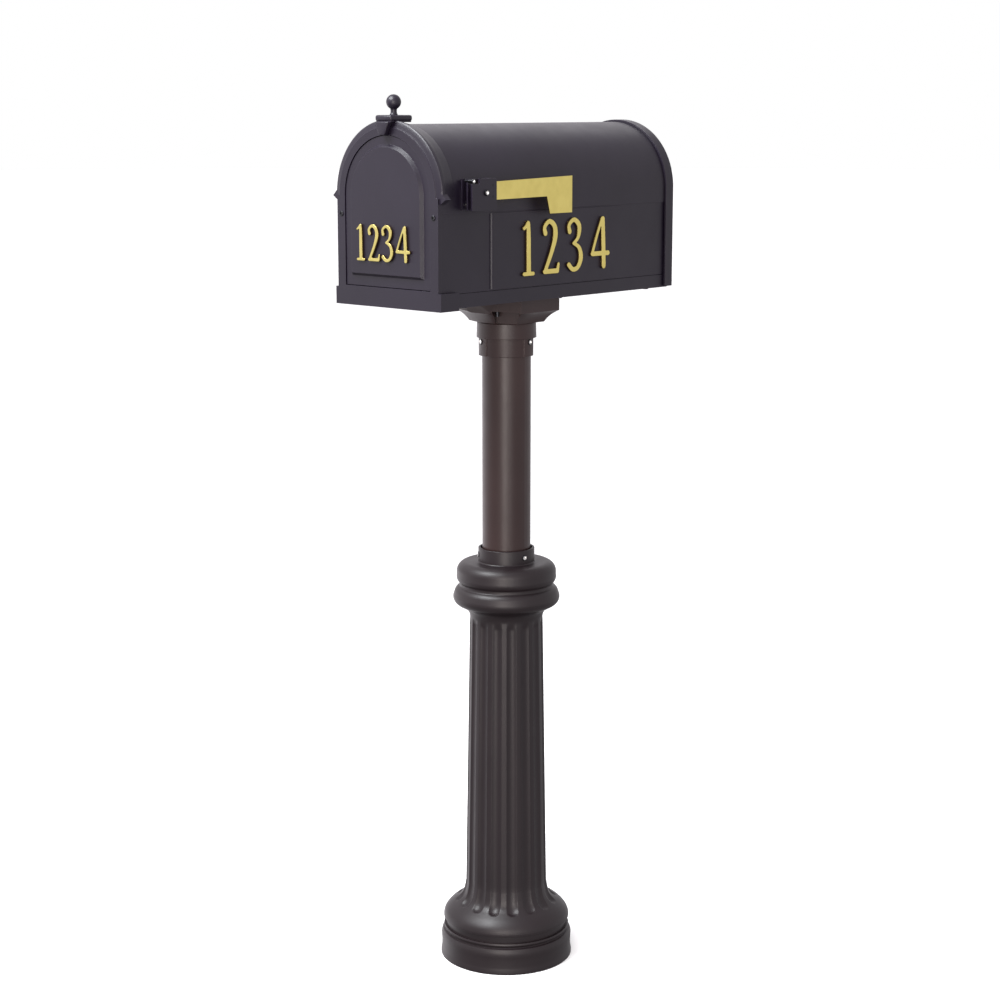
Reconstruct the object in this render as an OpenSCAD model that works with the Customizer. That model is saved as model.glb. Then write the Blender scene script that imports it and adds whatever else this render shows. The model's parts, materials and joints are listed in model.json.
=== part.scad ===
// Curbside mailbox on a fluted post.
// Millimetres, +Z up, origin on the ground at the post axis, door towards -Y, flag on the +X side.

/* [Pole] */
// Outer diameter of the steel pole
pole_d = 76.2; // [76:0.1:76.4]
// Wall of the steel pole
pole_wall = 3.2; // [2.5:0.1:5]
// Height of the top end of the pole
pole_top_z = 1030; // [1015:1:1045]

/* [Base flange] */
// Radius of the plinth ring at the ground
base_r = 106.3; // [104:0.1:110]
// Height of the plinth up to its bead
base_h = 50; // [48:0.5:51]
// Thickness of the bolt-down floor
base_floor = 10; // [8:0.5:14]
// Height of the pole socket
socket_h = 95; // [80:1:110]
// Pitch circle diameter of the anchor holes
anchor_pcd = 140; // [136:1:144]
// Radius of an anchor hole
anchor_r = 5.5; // [4.5:0.1:6.5]

/* [Column cover] */
// Radius of the skirt rim
skirt_r = 101.7; // [100:0.1:103]
// Height at which the skirt starts
skirt_z = 62; // [61:0.5:63]
// Shaft radius at the foot of the flutes
shaft_foot_r = 65.3; // [64:0.1:66]
// Shaft radius at the head of the flutes
shaft_head_r = 58; // [57:0.1:59]
// Number of flutes round the shaft
flute_count = 16; // [12:1:18]
// Radius of the cutter that makes a flute
flute_cut_r = 12.2; // [11:0.1:13]
// Depth of a flute
flute_depth = 3; // [2:0.1:3.4]
// Outer radius of the locking collar
collar_r = 44.5; // [44:0.1:46]
// Height of the top of the locking collar
collar_top_z = 676; // [672:1:684]

/* [Top bracket] */
// Outer radius of the lower sleeve
sleeve_r = 41.7; // [41.5:0.1:43]
// Height of the lower edge of the sleeve
sleeve_z = 981; // [970:1:985]
// Outer radius of the bracket collar
bracket_collar_r = 46.6; // [46:0.1:48]
// Half width of the mounting board
board_x = 70; // [68:0.5:72]
// Half length of the mounting board
board_y = 63; // [62:0.5:65]
// Underside of the mounting board
board_z = 1054; // [1052:0.5:1058]

/* [Box] */
// Underside of the mailbox, which is the top of the mounting board
box_z = 1075; // [1074:0.5:1076]
// Outer half width of the plain side walls
side_x = 101; // [100.8:0.1:101.2]
// Height at which the arched roof springs from the sides
spring_z = 1232.5; // [1231:0.5:1234]
// Outer radius of the roof shell
roof_r = 102.5; // [102.3:0.1:102.7]
// Thickness of the sheet parts
sheet = 2.5; // [2.3:0.1:2.6]
// Lower edge of the roof shell
roof_edge_z = 1210.5; // [1209:0.5:1212]
// Front plane of the frame
front_y = -257; // [-258:0.5:-256]
// Rear end of the sheet body
rear_y = 271.5; // [268:0.5:271.5]
// Outer radius and half width of the rear cap
cap_r = 106; // [105:0.1:107]
// Depth of the rear cap
cap_depth = 18; // [14:0.5:22]

/* [Frame] */
// Outer radius of the hood moulding
hood_r = 109; // [107:0.1:110]
// Radius of the opening that the door fills
opening_r = 87.4; // [87.2:0.1:87.8]
// Half width of the lower corner blocks
block_x = 108.5; // [107:0.1:110]
// Height of the top of the corner blocks
block_top_z = 1098; // [1094:0.5:1100]

/* [Door] */
// Radius and half width of the door
door_r = 86.5; // [86:0.1:86.7]
// Thickness of the door slab
door_t = 5; // [4.5:0.1:5]
// Height of the raised field over the slab
field_rise = 5; // [3:0.1:5.5]
// Radius and half width of the raised field
field_r = 74.5; // [70:0.1:76]
// Diameter of a hinge pin
hinge_pin_d = 5; // [4:0.1:5.4]

/* [Flag] */
// Distance from the side wall to the flag plate
flag_reach = 19.5; // [19:0.1:22]
// Thickness of the flag plate
flag_plate_t = 3.2; // [2.5:0.1:3.5]
// Thickness of the brass blade
flag_blade_t = 2; // [1.5:0.1:2.2]
// Pivot position along the side
flag_y = -180; // [-182:0.5:-178]
// Pivot height
flag_z = 1239; // [1238:0.5:1240]

/* [Numbers] */
// Height of the digits on the side
side_digit_h = 84; // [80:0.5:86]
// Height of the digits on the door
door_digit_h = 55; // [50:0.5:57]
// Thickness of a digit
digit_t = 3.5; // [2.5:0.1:4]

/* [Hidden] */

$fn = 96;

black = [0.13, 0.13, 0.15];
bronze = [0.16, 0.14, 0.14];
brass = [0.78, 0.7, 0.38];
steel = [0.8, 0.8, 0.82];

cut = 1;        // overshoot of a cutting tool
run = 0.05;     // radial clearance of a running fit
gap = 0.3;      // gap between faces of different bodies

pole_r = pole_d / 2;
pole_z = base_floor;

// Base flange
plinth_wall = 8;
neck_r = 97.5;
neck_top_z = skirt_z - 0.2;
groove_r = 100;
bead_r = 101.8;
shoulder_z = 33;
socket_r = pole_r + 8;
socket_bore_r = pole_r + 0.1;
drain_r = 30;
rib_t = 8;
rib_h = 40;

// Column cover
shaft_foot_z = 125;
shaft_head_z = 566;
rim_h = 4;
skirt_curve = [
    [-1.5, 5], [-5, 10.4], [-10.5, 16], [-16.5, 21], [-22.6, 26], [-27.6, 31.4], [-31.5, 38], [-34.4, 47]
];
neck_cove = [77, 563, 19.4];
neck_top = 582.4;
low_torus = [[70.5, 597, 14], [69.6, 602, 13.2]];
high_torus = [[66, 629.5, 13], [62.8, 637.5, 16]];
notch_core_r = 74;
collar_z = 652.5;
collar_bore_r = 41;
cover_wall_r = 51.5;    // inner radius of the shaft at its head
cover_cavity = [
    [0, 61], [93.5, 61], [93.5, 68], [78, 82], [61, 100], [58, 120], [cover_wall_r, 560], [cover_wall_r, 585],
    [62, 598], [62, 640], [collar_bore_r, 648], [collar_bore_r, 680], [0, 680]
];
flute_foot_z = 108;
flute_head_z = 552;
flute_phase = 5.25;
flute_tilt = atan((shaft_foot_r - shaft_head_r) / (shaft_head_z - shaft_foot_z));

// Set screws shared by the collar of the cover, the bracket ears and the socket
screw_count = 3;
screw_r = 4;
collar_screw_z = 665;
collar_screw_phase = -8;
ear_screw_z = 1003;
ear_phase = 8;
socket_screw_z = 80;

// Top bracket
sleeve_top_z = 1008.5;
bracket_collar_top_z = 1033;
sleeve_bore_r = pole_r + 0.1;
bracket_cap_z = 1030.2;
ear_r = 43.7;
ear_half_angle = 17;
corner_turn = 67;       // direction of a corner face, from the X axis
corner_reach = 67.8;    // distance of a corner face from the post axis, at the board
flare_foot_x = 50;
flare_foot_y = 46.6;
flare_foot_corner = 48;
flare_arc = [39, -21.6, 44.6];
pocket_floor_r = 44;
pocket_board = [0, 45.5];
pocket_foot = [-1, 32];
bolt_x = 24;
bolt_y = 47;
bolt_r = 3;
bolt_tip_z = 1045;

// Box
pan_lip_z = 1095;
lip_gap = 1;
roof_in_r = roof_r - sheet;
frame_back_y = -250;
lap_x = roof_in_r - 0.1;
lap_top_z = spring_z;
joggle_x = side_x - sheet - 0.2;
groove_y = -149;
field_y0 = -145;
field_y1 = 170;
field_z0 = 1098;
field_z1 = 1208;
side_field_rise = 2.2;
side_field_bevel = 5;
side_field_fade = 40;
flange_in = 14;
foot_z = box_z + sheet + 0.2;
front_flange_x = 89;
front_flange_z = 1120;
rear_flange_x = 76;
rear_flange_z = 1090;
floor_screw_x = 90;
floor_screw_y = [-190, 20, 230];
floor_screw_r = 2.5;

// Frame
block_z = 1072;
block_back_y = -219;
hood_back_y = -225;
stile_x = 103.5;
sill_top_z = 1100.6;
ring_r = 98.5;
lip_r = 81.5;
lip_y = -248;
lip_foot_z = 1130;
hood_tip_x = 115.5;
hood_return_y = -243;
frame_screw_x = 94.5;
frame_screw_z = 1205;
frame_screw_r = 2.4;
frame_screw_head_r = 3.8;

// Door
hinge_y = -250;
hinge_z = 1107;
barrel_r = 5.5;
door_face_y = -255.5;
door_back_y = door_face_y + door_t;
door_skirt_z = 1101.6;
sill_recess_r = 8.2;
field_z = 1116;
field_bevel = 4;
hinge_pin_r = hinge_pin_d / 2;
pin_in_door = 24;
pin_end_x = 95;
boss_x = 95.5;
boss_back_y = -243.5;
boss_top_z = 1114;

// Door pull, cap and ball
keystone_front_y = -266;
keystone_back_y = front_y - 0.5;
keystone_z0 = 1319.5;
keystone_low_x = 6;
keystone_high_x = 14;
pull_cap_z = 1337.8;
pull_cap_top_z = 1348;
pull_cap_x = 16.5;
pull_cap_y0 = -262.7;
pull_cap_y1 = -218.4;
pull_step = 1.4;
pull_step_z = 1341;
stem_y = -240.5;
stem_r = 4.7;
ball_r = 10.8;
ball_z = 1366.5;
tongue_x = 9;
tongue_y1 = -247.8;
tongue_z0 = 1300;
tongue_z1 = 1316;
neck_low_x = 4.6;
neck_high_x = 11.4;
slot_play = 1;
pull_screw_x = [-5, 5];
pull_screw_z = 1309;
pull_screw_r = 1.6;
pull_screw_bite = 3.5;
stem_thread_r = 3;
stem_thread_l = 7;

// Catch
catch_y = -240;
magnet_z0 = 1282;
magnet_z1 = 1296;
magnet_x = 12;
magnet_t = 9;
catch_screw_at = [[-4.6, -231.5], [4.6, -231.5]];
catch_screw_r = 1.6;
catch_tab_z = spring_z + roof_in_r - 0.5;
catch_tab_y = -225;
strike_x = 14;
strike_t = 1.2;

// Rear cap
cap_back_y = 278;
cap_front_y = cap_back_y - cap_depth;
cap_plate_y = 272;
cap_z = 1076.5;
rear_screw_at = [[-84, 1100], [84, 1100], [-84, 1225], [84, 1225]];
rear_screw_r = 2.5;
rear_screw_head_r = 4.5;

// Flag, measured from the pivot
plate_y0 = -29;
plate_y1 = 22;
plate_z0 = -25;
plate_z1 = 20;
stop_y = -27;
stop_z = 17;
stop_r = 3.6;
notch_y = -13.5;
notch_z = stop_z - stop_r - 0.4;
plate_x = roof_r + flag_reach;
bracket_out_x = plate_x - flag_blade_t - 4;
bracket_t = 2.5;
pivot_r = 3;
blade_tail_y = -12;
blade_tip_y = 12;
blade_low_z = 1204;
blade_high_z = 1258.5;
blade_arm_z = [1228, 1253.5];
blade_notch = [[-45, 1229.5], [-38, 1204]];
washer_r = 9;
bracket_screw_at = [[-16, -17], [10, -17]];
bracket_screw_r = 2.5;
rivet_z = [1233, 1249];
rivet_y = 14;
rivet_r = 2;

// Strokes of the digits on a field 84 high: [x, y, half width of the stroke]
glyph_h = 84;
glyph_1 = [
    [[13.5, 78, 4.2], [14, 60, 5.2], [14.3, 30, 5.4], [14.5, 6, 5.4]],
    [[13, 79, 4], [9, 74.5, 3.4], [4, 71, 3.2]],
    [[4, 3.8, 3.6], [24.5, 3.8, 3.6]]
];
glyph_2 = [
    [[7.5, 62, 5.2], [5.8, 71, 4.2], [16, 79.4, 4.4], [28, 72, 5.4], [30, 56, 5.8], [22, 34, 4.8], [9, 9, 4.2]],
    [[6, 4.8, 4.4], [35, 4.8, 4.6]],
    [[35.5, 6, 4], [37.5, 15, 3]]
];
glyph_3 = [
    [[7, 62, 5], [5.6, 72, 4], [17, 79.6, 4.2], [29, 70, 5.4], [27, 53, 4], [16, 44, 3]],
    [[16, 44, 3], [29, 37, 4.4], [33.5, 22, 5.4], [27, 8, 4.6], [15, 4.6, 4.4], [5.5, 12, 4.8]]
];
glyph_4 = [
    [[29, 78, 5], [30.5, 45, 5.4], [32, 6, 5.2]],
    [[27, 79, 3.2], [15, 53, 3.2], [4.5, 27, 3.4]],
    [[4.5, 25.5, 4.4], [42, 25.5, 4.6]]
];
GLYPHS = [glyph_1, glyph_2, glyph_3, glyph_4];
side_digit_y = [-82, -38, 18, 74];
door_digit_x = [-57, -34, -5.5, 24];
side_digit_z = 1112;
door_digit_z = 1138;
stroke_steps = 4;
stroke_weight = 0.86;

// ---- Helpers ----

// Extrudes an outline drawn in X and Z along Y, from y0 to y1
module along_y(y0, y1) {
    translate([0, y1, 0])
        rotate([90, 0, 0])
            linear_extrude(y1 - y0)
                children();
}

// Extrudes an outline drawn in Y and Z along X, from x0 to x1
module along_x(x0, x1) {
    translate([x0, 0, 0])
        rotate([90, 0, 90])
            linear_extrude(x1 - x0)
                children();
}

// A box between two corners
module block(a, b) {
    translate(a)
        cube(b - a);
}

// Straight sides up to the spring line with a half circle over them
module arch(r, z0) {
    intersection() {
        union() {
            translate([-r, z0])
                square([2 * r, spring_z - z0]);
            translate([0, spring_z])
                circle(r);
        }
        translate([-r - 1, z0])
            square([2 * r + 2, spring_z + r + 1 - z0]);
    }
}

// Repeats its children at even steps round the post axis
module around(count, phase) {
    for (i = [0 : count - 1])
        rotate([0, 0, phase + 360 * i / count])
            children();
}

// A screw along -X with its round head at x = head_x and its tip at x = tip_x
module radial_screw(head_x, tip_x, r, head_h) {
    translate([tip_x, 0, 0])
        rotate([0, 90, 0])
            cylinder(h = head_x - tip_x, r = r);
    translate([head_x, 0, 0])
        rotate([0, 90, 0])
            cylinder(h = head_h, r = 1.25 * r);
}

// A point of the smooth curve through four control points, at u from 0 to 1 between the middle two
function curve_point(a, b, c, d, u) =
    0.5 * (2 * b + (c - a) * u + (2 * a - 5 * b + 4 * c - d) * u * u + (3 * b - a - 3 * c + d) * u * u * u);

// The smooth curve through all the control points of a stroke
function smooth(p) = let (n = len(p) - 1)
    concat(
        [for (i = [0 : n - 1]) for (s = [0 : stroke_steps - 1])
            curve_point(p[max(i - 1, 0)], p[i], p[i + 1], p[min(i + 2, n)], s / stroke_steps)],
        [p[n]]
    );

// Direction of a curve at point i, in degrees
function heading(c, i) = let (a = c[max(i - 1, 0)], b = c[min(i + 1, len(c) - 1)])
    atan2(b[1] - a[1], b[0] - a[0]);

// The point that lies one stroke half width from point i of a curve, turned from its heading
function beside(c, i, turn) = [c[i][0], c[i][1]]
    + stroke_weight * c[i][2] * [cos(heading(c, i) + turn), sin(heading(c, i) + turn)];

// One pen stroke with round ends, whose width follows its control points
module stroke(p) {
    c = smooth(p);
    n = len(c) - 1;
    polygon(concat(
        [for (i = [0 : n]) beside(c, i, 90)],
        [for (turn = [60 : -30 : -60]) beside(c, n, turn)],
        [for (i = [n : -1 : 0]) beside(c, i, -90)],
        [for (turn = [-120 : -30 : -240]) beside(c, 0, turn)]
    ));
}

// The outline of digit k (0 to 3) at a given height
module digit_outline(k, h) {
    scale(h / glyph_h)
        union()
            for (s = GLYPHS[k])
                stroke(s);
}

// ---- Post ----

module base_flange() color(black)
    difference() {
        union() {
            rotate_extrude()
                difference() {
                    union() {
                        polygon([
                            [0, 0], [base_r, 0], [base_r, 4], [base_r - 1.3, 12], [base_r - 1.3, 23],
                            [base_r - 0.7, shoulder_z], [base_r - 1.4, 37], [base_r - 3.3, 41],
                            [groove_r, 42], [groove_r, 44], [bead_r - 0.8, 45], [bead_r, 47.5],
                            [bead_r - 0.8, base_h], [neck_r, base_h], [neck_r, neck_top_z], [0, neck_top_z]
                        ]);
                        square([socket_r, socket_h]);
                    }
                    translate([socket_r, base_floor])
                        square([neck_r - plinth_wall - socket_r, socket_h]);
                    translate([0, pole_z])
                        square([socket_bore_r, socket_h]);
                    translate([0, -cut])
                        square([drain_r, socket_h]);
                }
            around(4, 0)
                block([socket_r - 1, -rib_t / 2, base_floor - 1], [neck_r - plinth_wall + 1, rib_t / 2, rib_h]);
        }
        around(4, 45)
            translate([anchor_pcd / 2, 0, -cut])
                cylinder(h = base_floor + 2 * cut, r = anchor_r);
        around(screw_count, 0)
            translate([pole_r - 4, 0, socket_screw_z])
                rotate([0, 90, 0])
                    cylinder(h = socket_r, r = screw_r);
    }

module pole() color(bronze)
    difference() {
        translate([0, 0, pole_z])
            cylinder(h = pole_top_z - pole_z, r = pole_r);
        translate([0, 0, pole_z - cut])
            cylinder(h = pole_top_z - pole_z + 2 * cut, r = pole_r - pole_wall);
    }

module pole_screws() color(steel)
    around(screw_count, 0)
        translate([0, 0, socket_screw_z])
            radial_screw(socket_r, pole_r, screw_r, 4);

module column_profile() {
    difference() {
        union() {
            polygon([
                [0, skirt_z], [skirt_r, skirt_z], [skirt_r, skirt_z + rim_h],
                each [for (p = skirt_curve) [skirt_r, skirt_z + rim_h] + p],
                [shaft_foot_r, shaft_foot_z],
                [shaft_head_r, shaft_head_z], [neck_cove[0], shaft_head_z], [neck_cove[0], neck_top],
                [notch_core_r, neck_top], [notch_core_r, 640], [62.8, collar_z + 1],
                [collar_r, collar_z + 1], [collar_r, collar_top_z], [0, collar_top_z]
            ]);
            for (t = concat(low_torus, high_torus))
                translate([t[0], t[1]])
                    circle(t[2]);
        }
        translate([neck_cove[0], neck_cove[1]])
            circle(neck_cove[2]);
        polygon(cover_cavity);
        translate([-100, 0])
            square([100, 1000]);
    }
}

module flute_cutter() {
    translate([shaft_foot_r - flute_depth + flute_cut_r, 0, flute_foot_z])
        rotate([0, -flute_tilt, 0])
            cylinder(h = flute_head_z - flute_foot_z, r = flute_cut_r);
}

module column_cover() color(black)
    difference() {
        rotate_extrude()
            column_profile();
        around(flute_count, flute_phase)
            flute_cutter();
        around(screw_count, collar_screw_phase)
            translate([pole_r, 0, collar_screw_z])
                rotate([0, 90, 0])
                    cylinder(h = collar_r, r = screw_r);
    }

module column_screws() color(steel)
    around(screw_count, collar_screw_phase)
        translate([0, 0, collar_screw_z])
            radial_screw(collar_r, pole_r, screw_r - 0.2, 1.2);

// One pair of opposite faces of the bracket: hollow flares that end in the upright edge of the board
module flare(foot, reach) {
    along_y(-2 * board_x, 2 * board_x)
        difference() {
            translate([-reach, bracket_collar_top_z])
                square([2 * reach, box_z - 0.1 - bracket_collar_top_z]);
            for (side = [-1, 1])
                translate([side * (foot + flare_arc[0]), bracket_collar_top_z + flare_arc[1]])
                    circle(flare_arc[2]);
        }
}

// The hollow in a corner face of the bracket, in which the end of a mailbox bolt shows
module corner_pocket() {
    along_x(pocket_floor_r, 2 * board_x)
        polygon([
            [pocket_foot[0], bracket_collar_top_z - cut], [pocket_foot[1], bracket_collar_top_z - cut],
            [pocket_board[1], board_z], [pocket_board[0], board_z]
        ]);
}

module top_bracket() color(black)
    difference() {
        union() {
            translate([0, 0, sleeve_z])
                cylinder(h = board_z + 2 - sleeve_z, r = sleeve_r);
            translate([0, 0, sleeve_top_z])
                cylinder(h = bracket_collar_top_z - sleeve_top_z, r1 = bracket_collar_r, r2 = bracket_collar_r - 0.9);
            around(screw_count, ear_phase)
                translate([0, 0, sleeve_z])
                    rotate([0, 0, -ear_half_angle])
                        rotate_extrude(angle = 2 * ear_half_angle)
                            polygon([[sleeve_bore_r + 1, 0], [ear_r, 0], [ear_r, 28], [sleeve_bore_r + 1, 28]]);
            difference() {
                intersection() {
                    flare(flare_foot_x, board_x);
                    rotate([0, 0, 90])
                        flare(flare_foot_y, board_y);
                    rotate([0, 0, corner_turn])
                        flare(flare_foot_corner, corner_reach);
                    rotate([0, 0, -corner_turn])
                        flare(flare_foot_corner, corner_reach);
                }
                around(2, -corner_turn)
                    corner_pocket();
            }
        }
        translate([0, 0, sleeve_z - cut])
            cylinder(h = bracket_cap_z - sleeve_z + cut, r = sleeve_bore_r);
        around(screw_count, ear_phase)
            translate([pole_r - 1, 0, ear_screw_z])
                rotate([0, 90, 0])
                    cylinder(h = 20, r = screw_r);
        for (x = [-bolt_x, bolt_x], y = [-bolt_y, bolt_y])
            translate([x, y, bolt_tip_z])
                cylinder(h = box_z - bolt_tip_z + cut, r = bolt_r);
    }

module bracket_screws() color(steel)
    around(screw_count, ear_phase)
        translate([0, 0, ear_screw_z])
            radial_screw(ear_r, pole_r, screw_r - 0.2, 1.2);

// ---- Mailbox body ----

module floor_pan() color(black)
    difference() {
        along_y(frame_back_y, rear_y)
            difference() {
                translate([-side_x, box_z])
                    square([2 * side_x, pan_lip_z - box_z]);
                translate([-side_x + sheet, box_z + sheet])
                    square([2 * (side_x - sheet), pan_lip_z]);
            }
        for (x = [-bolt_x, bolt_x], y = [-bolt_y, bolt_y])
            translate([x, y, box_z - cut])
                cylinder(h = sheet + 2 * cut, r = bolt_r);
        for (x = [-1, 1], y = floor_screw_y)
            translate([x * floor_screw_x, y, box_z - cut])
                cylinder(h = sheet + 2 * cut, r = floor_screw_r);
    }

module floor_screws() color(steel)
    for (x = [-1, 1], y = floor_screw_y)
        translate([x * floor_screw_x, y, 0]) {
            translate([0, 0, box_z - 2])
                cylinder(h = 2, r = 4.5);
            translate([0, 0, box_z - cut])
                cylinder(h = 10, r = floor_screw_r);
        }

// The wall with its joggle behind the pan lip, its lap behind the roof and its inward foot
module side_wall_outline() {
    polygon([
        [joggle_x - sheet - flange_in, foot_z], [joggle_x, foot_z],
        [joggle_x, pan_lip_z + lip_gap], [side_x, pan_lip_z + lip_gap],
        [side_x, roof_edge_z - 0.2], [lap_x, roof_edge_z - 0.2], [lap_x, lap_top_z], [lap_x - sheet, lap_top_z],
        [lap_x - sheet, pan_lip_z + 6], [joggle_x - sheet, pan_lip_z + 3],
        [joggle_x - sheet, foot_z + sheet], [joggle_x - sheet - flange_in, foot_z + sheet]
    ]);
}

// The raised field, with a rounded front edge and a long slope down to the wall at its rear
module side_field() {
    x0 = side_x - 0.5;
    x1 = side_x + side_field_rise;
    translate([0, 0, field_z0])
        linear_extrude(field_z1 - field_z0)
            polygon([
                [x0, field_y0], [side_x, field_y0], [side_x + 0.7 * side_field_rise, field_y0 + 1.6],
                [x1, field_y0 + side_field_bevel], [x1, field_y1 - side_field_fade],
                [side_x, field_y1], [x0, field_y1]
            ]);
}

module side_panel() {
    difference() {
        union() {
            along_y(frame_back_y, rear_y)
                side_wall_outline();
            side_field();
            block(
                [front_flange_x, frame_back_y, front_flange_z],
                [lap_x - 1, frame_back_y + sheet, lap_top_z]
            );
            block([rear_flange_x, rear_y - sheet, rear_flange_z], [joggle_x - 1, rear_y, lap_top_z]);
        }
        translate([frame_screw_x, 0, frame_screw_z])
            along_y(frame_back_y - cut, frame_back_y + sheet + cut)
                circle(frame_screw_r);
        for (p = rear_screw_at)
            translate([p[0], 0, p[1]])
                along_y(rear_y - sheet - cut, rear_y + cut)
                    circle(rear_screw_r);
        block([side_x - 1, groove_y, field_z0], [side_x + cut, field_y0, field_z1]);
        for (y = floor_screw_y)
            translate([floor_screw_x, y, box_z])
                cylinder(h = 12, r = floor_screw_r);
    }
}

module side_panel_left() color(black)
    mirror([1, 0, 0])
        side_panel();

module side_panel_right() color(black)
    difference() {
        side_panel();
        for (p = bracket_screw_at)
            translate([lap_x - sheet - cut, flag_y + p[0], flag_z + p[1]])
                rotate([0, 90, 0])
                    cylinder(h = 8, r = bracket_screw_r);
    }

module roof_shell() color(black)
    difference() {
        along_y(frame_back_y, rear_y)
            difference() {
                arch(roof_r, roof_edge_z);
                arch(roof_in_r, roof_edge_z - cut);
            }
        for (p = bracket_screw_at)
            translate([roof_in_r - cut, flag_y + p[0], flag_z + p[1]])
                rotate([0, 90, 0])
                    cylinder(h = 5, r = bracket_screw_r);
        for (p = catch_screw_at)
            translate([p[0], p[1], spring_z + roof_in_r - cut])
                cylinder(h = 5, r = catch_screw_r);
        // notch that clears the neck of the door pull
        block(
            [-neck_high_x - slot_play, frame_back_y - cut, spring_z + roof_in_r - 4],
            [neck_high_x + slot_play, lip_y + slot_play, spring_z + roof_r + cut]
        );
    }

// Section of the hood: flat ring, cove, thick rim and a sloping back
module hood_section() {
    polygon([
        [opening_r, front_y], [ring_r, front_y], [ring_r + 0.8, front_y + 1.2], [ring_r + 4, front_y + 2.2],
        [hood_r - 2, front_y + 3], [hood_r, front_y + 4.5], [hood_r, front_y + 9], [hood_r - 1.2, front_y + 12],
        [roof_r + 1.5, hood_back_y], [roof_r + 0.2, hood_back_y], [roof_r + 0.2, frame_back_y - 0.2],
        [opening_r, frame_back_y - 0.2]
    ]);
}

module lip_section() {
    polygon([
        [lip_r, lip_y - 2.2], [opening_r + 1, lip_y - 2.2], [opening_r + 1, lip_y], [lip_r, lip_y]
    ]);
}

// Turns a section drawn in radius and Y into the half ring over the spring line
module half_ring() {
    translate([0, 0, spring_z])
        intersection() {
            rotate([-90, 0, 0])
                rotate_extrude()
                    children();
            translate([-hood_r - 1, front_y - 1, 0])
                cube([2 * hood_r + 2, 60, hood_r + 1]);
        }
}

module frame_stile() {
    block([opening_r, front_y, block_top_z - 2], [stile_x, frame_back_y - 0.2, spring_z]);
    block([lip_r, lip_y - 2.2, lip_foot_z], [opening_r + 1, lip_y, spring_z]);
    block([opening_r, front_y, block_z], [block_x, frame_back_y - 0.2, block_top_z]);
    block([side_x + 0.2, front_y + 1, block_z], [block_x, block_back_y, block_top_z]);
    // boss that holds the hinge pin
    block([opening_r, frame_back_y - 1, sill_top_z], [boss_x, boss_back_y, boss_top_z]);
    // return of the hood at its lower end
    along_y(front_y + 3, hood_return_y)
        polygon([
            [stile_x - 0.5, spring_z - 9], [stile_x + 1, spring_z - 9], [hood_tip_x, spring_z - 1.5],
            [hood_r - 1, spring_z + 6], [stile_x - 0.5, spring_z + 6]
        ]);
}

module front_frame() color(black)
    difference() {
        union() {
            half_ring()
                hood_section();
            half_ring()
                lip_section();
            for (side = [0, 1])
                mirror([side, 0, 0])
                    frame_stile();
            block([-opening_r - 1, front_y, block_z], [opening_r + 1, frame_back_y - 0.2, sill_top_z]);
            block([-block_x, front_y + 1, block_z], [block_x, block_back_y, box_z - 0.2]);
        }
        // seat for the cap of the pull and slot for its neck and tongue
        block(
            [-pull_cap_x - slot_play, front_y - cut, pull_cap_z - 0.7],
            [pull_cap_x + slot_play, pull_cap_y1 + 2, spring_z + hood_r + cut]
        );
        along_y(front_y - cut, lip_y + cut)
            polygon([
                [-neck_low_x - slot_play, tongue_z1 - 4], [neck_low_x + slot_play, tongue_z1 - 4],
                [neck_low_x + slot_play, keystone_z0], [neck_high_x + slot_play, pull_cap_z + 1],
                [-neck_high_x - slot_play, pull_cap_z + 1], [-neck_low_x - slot_play, keystone_z0]
            ]);
        along_y(frame_back_y - 0.4, lip_y + cut)
            translate([-tongue_x - 3, tongue_z0 - 10])
                square([2 * tongue_x + 6, 28]);
        for (x = [-frame_screw_x, frame_screw_x])
            translate([x, 0, frame_screw_z])
                along_y(front_y - cut, frame_back_y + cut)
                    circle(frame_screw_r);
        // recess of the sill, in which the lower edge of the door turns
        along_x(-opening_r, opening_r)
            translate([hinge_y, hinge_z])
                circle(sill_recess_r);
        for (x = [-opening_r, opening_r])
            translate([x, hinge_y, hinge_z])
                rotate([0, 90, 0])
                    cylinder(h = 26, r = hinge_pin_r, center = true);
    }

module frame_screws() color(black)
    for (x = [-frame_screw_x, frame_screw_x])
        translate([x, 0, frame_screw_z]) {
            along_y(front_y - 1.4, front_y)
                circle(frame_screw_head_r);
            along_y(front_y - 0.5, frame_back_y + sheet + 8)
                circle(frame_screw_r);
        }

module rear_cap() color(black)
    difference() {
        along_y(cap_front_y, cap_back_y)
            arch(cap_r, cap_z);
        along_y(cap_front_y - cut, cap_plate_y)
            arch(roof_r + 0.2, cap_z - cut);
        for (p = rear_screw_at)
            translate([p[0], 0, p[1]])
                along_y(cap_plate_y - cut, cap_back_y + cut)
                    circle(rear_screw_r);
    }

module rear_screws() color(black)
    for (p = rear_screw_at)
        translate([p[0], 0, p[1]]) {
            along_y(cap_back_y, cap_back_y + 1.8)
                circle(rear_screw_head_r);
            along_y(rear_y - sheet - 6, cap_back_y + 0.5)
                circle(rear_screw_r);
        }

module mailbox_bolts() color(steel)
    for (x = [-bolt_x, bolt_x], y = [-bolt_y, bolt_y])
        translate([x, y, 0]) {
            translate([0, 0, box_z + sheet])
                cylinder(h = 3, r1 = 8, r2 = 5);
            translate([0, 0, bolt_tip_z])
                cylinder(h = box_z + sheet + 0.5 - bolt_tip_z, r = bolt_r);
        }

// ---- Door ----

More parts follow.
